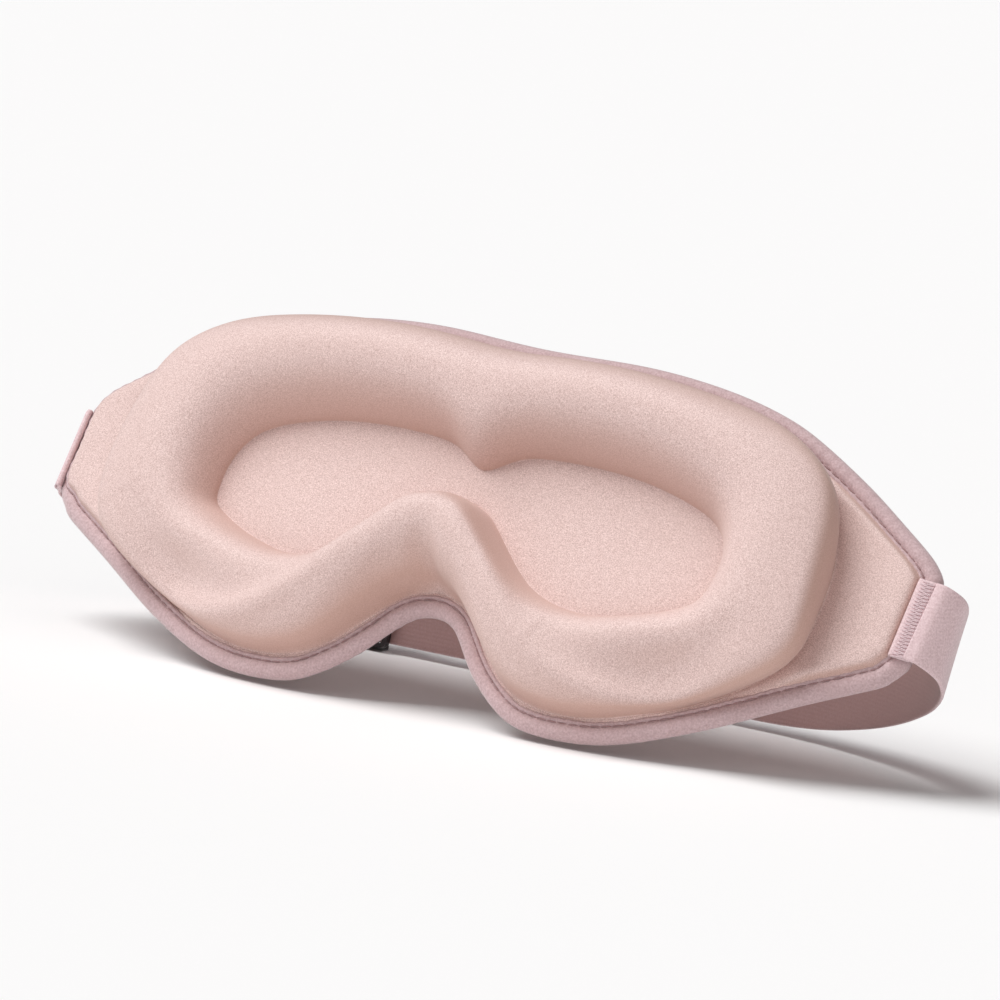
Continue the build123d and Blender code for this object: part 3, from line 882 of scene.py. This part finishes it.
def make_bartack(side):
    """The zigzag that sews a tab to its wing."""
    origin, along, up = wing_frame(side)
    surface = origin + along * 0.2 + up * (TAB_TACK_HEIGHT * TAB_SCALE)
    path = []
    for x, v, rise in zigzag(TAB_TACK, STRAP_WIDTH - 2 * TACK_MARGIN, TAB_TACK_STITCHES, 0.6):
        path.append(surface + along * x + np.array([0, v, 0]) + up * rise)
    points, faces = tube(path, TAB_TACK_RADIUS)
    name = "right" if side > 0 else "left"
    new_mesh(f"zigzag_{name}", points, faces, "mask", "thread", [f"bartack_{name}"])


# ---- the strap -----------------------------------------------------------------------------
RUN_TURN = math.radians(TWIST)
ACROSS = np.array([0, math.cos(RUN_TURN), math.sin(RUN_TURN)])
TOWARDS = np.array([0, -math.sin(RUN_TURN), math.cos(RUN_TURN)])


def on_run(x, z):
    """A point on the back run: along it, and towards the mask."""
    return np.array([x, RUN_V, RUN_N]) + TOWARDS * z


def turn(x, z, radius, start, end, steps=10):
    """Points of an arc round a bar, from one angle to another."""
    angles = np.radians(np.linspace(start, end, steps + 1))
    return [(x + radius * math.cos(a), z + radius * math.sin(a)) for a in angles]


def whole_run(stations, path):
    """Middle line and width directions of a side of the strap and its part of the back run."""
    side = open_spline(stations, SIDE_SAMPLES)
    twist = np.radians(side[:, 3])
    side_across = np.stack([np.zeros(SIDE_SAMPLES), np.cos(twist), np.sin(twist)], -1)
    back = np.array([on_run(x, z) for x, z in path])
    across = np.vstack([side_across, np.tile(ACROSS, (len(back), 1))])
    return np.vstack([side[:, :3], back]), across


def strap_piece(name, line, across, body, replaces, inner=0):
    """A length of elastic; inner says which of its faces looks at the wearer, and that face is given painted
    shade.
    """
    points, faces, height = ribbon(line, across, STRAP_WIDTH, STRAP)
    piece = new_mesh(name, points, faces, body, "elastic", replaces)
    # the painted shade mask: 1 over the face towards the wearer, 0 elsewhere
    layer = piece.data.attributes.new("inner_side", "FLOAT", "POINT")
    layer.data.foreach_set("value", np.clip(height * inner, 0, 1))
    return piece


def make_strap():
    """The long elastic, from the right wing to its fold round the ring."""
    bar = RING_U + RING_LENGTH / 2 - RING_BAR
    path = [(x, 0) for x in np.linspace(RUN_RIGHT - 1, bar + 1, 90)]
    path += turn(bar - GAP, -LAYER_DROP / 2, LAYER_DROP / 2, 90, 270)
    path += [(bar + 1, -LAYER_DROP), (bar + 4, -LAYER_DROP)]
    line, across = whole_run(RIGHT_SIDE + [(RUN_RIGHT, RUN_V, RUN_N, TWIST)], path)
    strap_piece("long_strap", line, across, "strap", ["strap"], inner=-1)


def make_strap_return():
    """The doubled layer, from the ring to its sewn fold round the slider's middle bar."""
    start = RING_U + RING_LENGTH / 2 - RING_BAR + 3.9
    bar = SLIDER_U
    front = -(STRAP + GAP)
    back = front - LAYER_DROP
    sewn = front - STRAP - SEWN_GAP
    path = [(start, -LAYER_DROP), (start + 2, -LAYER_DROP + 0.1), (bar - SLIDER_LAP, sewn),
            (bar - 6.5, sewn), (bar - 4, sewn - 0.1), (bar - 2.2, back + 0.5), (bar - 1.2, back),
            (bar, back)]
    path += turn(bar + SLIDER_BAR / 2 + GAP, (front + back) / 2, LAYER_DROP / 2, -90, 90)
    path += [(bar, front), (bar - 4, front), (bar - SLIDER_LAP, front)]
    line = np.array([on_run(x, z) for x, z in path])
    across = np.tile(ACROSS, (len(line), 1))
    piece = strap_piece("doubled_strap", line, across, "strap", ["strap_return"])
    piece.parent = None
    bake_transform(piece)


def make_short_strap():
    """The short elastic, from the left wing to its sewn fold round the ring."""
    bar = RING_U - RING_LENGTH / 2 + RING_BAR
    sewn = -(STRAP + SEWN_GAP)
    path = [(bar - 1, 0)]
    path += turn(bar + GAP, -LAYER_DROP / 2, LAYER_DROP / 2, 90, -90)
    path += [(bar - 2, -LAYER_DROP), (bar - 4, -LAYER_DROP * 0.7), (bar - 6, sewn - 0.15),
             (bar - 8, sewn), (bar - 12, sewn)]
    line, across = whole_run(LEFT_SIDE + [(RUN_LEFT, RUN_V, RUN_N, TWIST)], path)
    strap_piece("left_strap", line, across, "strap", ["short_strap"], inner=1)


def make_run_bartack(name, x, z, body, replaces):
    """Zigzag stitches on the outward side of the back run."""
    path = []
    for along, across, rise in zigzag(RUN_TACK, STRAP_WIDTH - 2 * TACK_MARGIN, RUN_TACK_STITCHES):
        path.append(on_run(x + along, z - SEWN_GAP - rise) + ACROSS * across)
    points, faces = tube(path, RUN_TACK_RADIUS)
    new_mesh(name, points, faces, body, "thread", replaces)


# ---- camera, floor and light ---------------------------------------------------------------
VIEW_WIDTH = 0.2320                   # width of the picture at the object, in metres
LENS = 1200.0                         # so long that there is next to no perspective
SENSOR = 36.0
TO_CAMERA = np.array([0.5515, -0.2840, 0.7843])       # in the mask frame
IMAGE_UP = np.array([-0.1689, 0.8828, 0.4384])
AIM_UP = 8.80                         # the picture's middle, above the mask frame's origin
AIM_RIGHT = 0.13
FLOOR_SIZE = 12.0


def make_camera():
    """The photograph's camera."""
    back = turned(TO_CAMERA)
    right = turned(IMAGE_UP).cross(back).normalized()
    up = back.cross(right)
    aim = Vector(ORIGIN) + up * AIM_UP * MM + right * AIM_RIGHT * MM
    data = bpy.data.cameras.new("camera")
    data.lens = LENS
    data.sensor_width = SENSOR
    data.clip_start = 0.1
    data.clip_end = 60
    camera = bpy.data.objects.new("camera", data)
    distance = VIEW_WIDTH * LENS / SENSOR
    turn_matrix = Matrix((right, up, back)).transposed()
    camera.matrix_world = Matrix.Translation(aim + back * distance) @ turn_matrix.to_4x4()
    bpy.context.scene.collection.objects.link(camera)
    bpy.context.scene.camera = camera


def make_floor():
    """A wide white floor."""
    mesh = bpy.data.meshes.new("floor")
    corners = [(x * FLOOR_SIZE, y * FLOOR_SIZE, 0) for x, y in ((-1, -1), (1, -1), (1, 1), (-1, 1))]
    mesh.from_pydata(corners, [], [(0, 1, 2, 3)])
    floor = bpy.data.objects.new("floor", mesh)
    bpy.context.scene.collection.objects.link(floor)
    n = Nodes("floor")
    mesh.materials.append(n.finish((0.93, 0.93, 0.93), 0.9, None, specular=0.0))


def sun(name, direction, strength, softness, colour):
    """A distant soft light that shines from a direction."""
    data = bpy.data.lights.new(name, "SUN")
    data.color = colour
    data.energy = strength
    data.angle = math.radians(softness)
    light = bpy.data.objects.new(name, data)
    light.rotation_euler = (-Vector(direction)).to_track_quat("-Z", "Y").to_euler()
    bpy.context.scene.collection.objects.link(light)


def make_light():
    """A soft key light, a weak warm fill and a dim even sky."""
    world = bpy.data.worlds.new("studio")
    world.use_nodes = True
    background = world.node_tree.nodes["Background"]
    background.inputs["Color"].default_value = (1, 1, 1, 1)
    background.inputs["Strength"].default_value = 0.19
    bpy.context.scene.world = world
    sun("key", (-0.42, -0.32, 0.85), 2.9, 48, (1, 1, 1))
    sun("fill", (0.75, -0.60, 0.28), 0.65, 70, (1, 0.88, 0.86))
    bpy.context.scene.view_settings.view_transform = "Standard"


# ---- making it all -------------------------------------------------------------------------
make_camera()
make_floor()
make_light()
make_face()
make_outer_cloth()
outer_foam = make_inner_layer("outer_foam_pad", -WING_RISE + 0.7, -LINING_RISE, "foam", "outer_foam")
lining = make_inner_layer("lining_sheet", -LINING_RISE, LINING_RISE, "lining", "blackout_lining")
make_binding()
make_stitches()
for wing in (-1, 1):
    make_tab(wing)
    make_bartack(wing)
make_strap()
make_strap_return()
make_short_strap()
make_run_bartack("ring_stitches", RING_U - RING_LENGTH / 2 + RING_BAR - 9,
                 -(STRAP + SEWN_GAP) - STRAP / 2, "strap", ["bartack_ring"])
make_run_bartack("slider_stitches", SLIDER_U - 6.5, -(2 * STRAP + GAP + SEWN_GAP) - STRAP / 2,
                 "slider", ["bartack_slider"])
for node in frame["nodes"].values():
    slot_name = next(s["material_slot"] for s in frame["record"]["subparts"] if s["node"] == node.name)
    node.data.materials.clear()
    node.data.materials.append(MATERIALS[slot_name])
